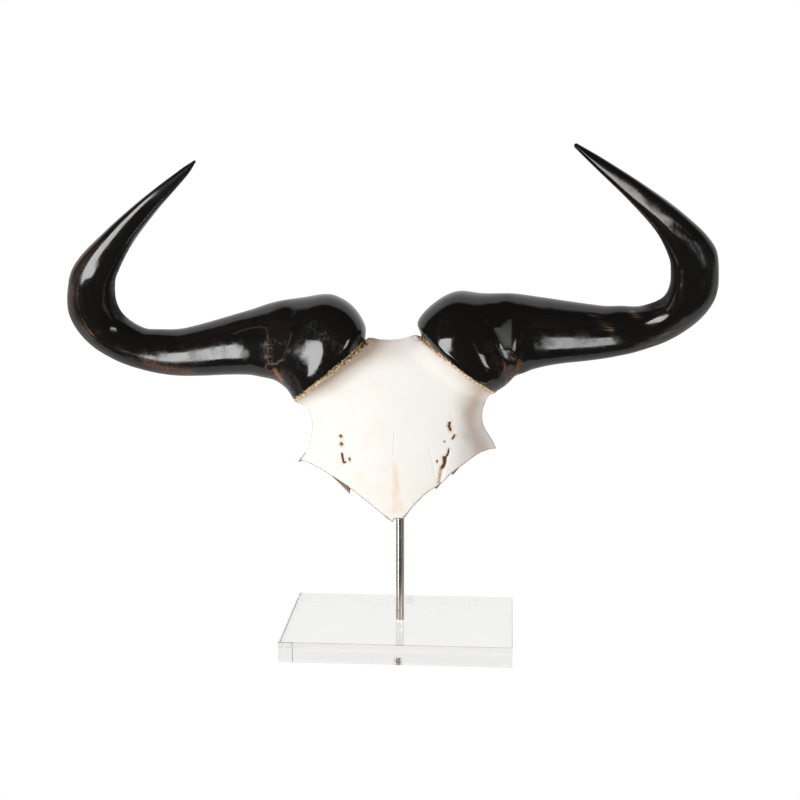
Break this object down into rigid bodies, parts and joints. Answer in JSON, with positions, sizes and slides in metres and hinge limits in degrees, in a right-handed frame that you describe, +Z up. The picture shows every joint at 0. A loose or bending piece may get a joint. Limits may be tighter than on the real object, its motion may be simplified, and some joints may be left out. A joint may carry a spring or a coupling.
{
  "type": "skull plate with horns on a stand",
  "caption": "Wildebeest skull plate: pale frontal bone with polished black hooked horns, held up by a steel rod on a clear acrylic block.",
  "frame": {"origin": "middle of the block's underside, on the rod's axis", "axes": "+Z up along the rod, +X along the block's long side to the viewer's right, -Y towards the viewer the forehead faces"},
  "size_m": [0.6202, 0.15, 0.4822],
  "materials": {
    "clear_acrylic": "polished",
    "polished_steel": "polished",
    "pale_bone": "matte",
    "black_horn": "gloss"
  },
  "bodies": {
    "root": {"base": "clear_acrylic", "rod": "polished_steel", "skull_plate": "pale_bone", "horn_left": "black_horn", "horn_right": "black_horn"}
  },
  "joints": []
}
